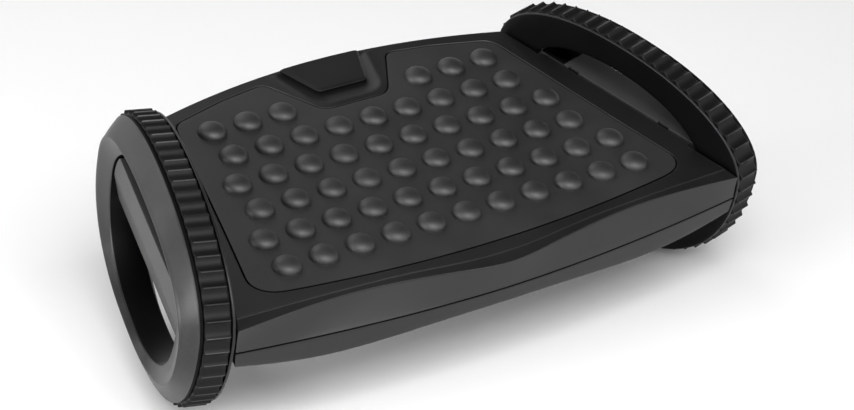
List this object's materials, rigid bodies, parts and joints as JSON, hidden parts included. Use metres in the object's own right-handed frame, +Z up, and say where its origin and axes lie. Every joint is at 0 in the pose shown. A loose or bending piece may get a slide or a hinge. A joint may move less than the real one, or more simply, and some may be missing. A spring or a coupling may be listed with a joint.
{
  "type": "tilting under desk footrest",
  "caption": "Black footrest with a studded massage deck held between two toed-in oval wheels with ribbed tyres, on which it rocks to tilt.",
  "frame": {"origin": "on the floor, in the middle of the footrest's bounding box", "axes": "+X to the right of the sitter, from wheel to wheel; +Y away from the sitter, to the deck's raised edge; +Z up"},
  "size_m": [0.4996, 0.2662, 0.178],
  "materials": {
    "shell": "fine-grained black moulded plastic",
    "mat": "soft matt black massage mat with a fine grain",
    "badge": "smooth satin black plastic",
    "hoop": "satin black plastic",
    "trim": "satin black plastic with a broad soft sheen",
    "tyre": "matt black ribbed rubber",
    "block": "satin black plastic",
    "catch": "smooth black plastic",
    "steel": "zinc-plated steel"
  },
  "bodies": {
    "platform": {"top_shell": "shell", "bottom_shell": "shell", "massage_mat": "mat", "badge_plate": "badge", "shell_screw_1": "steel", "shell_screw_2": "steel", "shell_screw_3": "steel", "shell_screw_4": "steel", "shell_screw_5": "steel", "shell_screw_6": "steel", "shell_screw_7": "steel", "shell_screw_8": "steel", "left_block_screw_1": "steel", "left_block_screw_2": "steel", "left_end_block": "block", "left_front_catch": "catch", "left_rear_catch": "catch", "right_block_screw_1": "steel", "right_block_screw_2": "steel", "right_end_block": "block", "right_front_catch": "catch", "right_rear_catch": "catch"},
    "left_wheel": {"left_wheel_hoop": "hoop", "left_tyre": "tyre", "left_trim_ring": "trim"},
    "right_wheel": {"right_wheel_hoop": "hoop", "right_tyre": "tyre", "right_trim_ring": "trim"}
  },
  "joints": [
    {"name": "left_wheel_slide", "type": "slide", "parent": "platform", "child": "left_wheel", "axis": [-0.9701, 0.2291, 0.0798], "range_m": [0, 0.034]},
    {"name": "right_wheel_slide", "type": "slide", "parent": "platform", "child": "right_wheel", "axis": [0.9701, 0.2291, 0.0798], "range_m": [0, 0.034]}
  ]
}
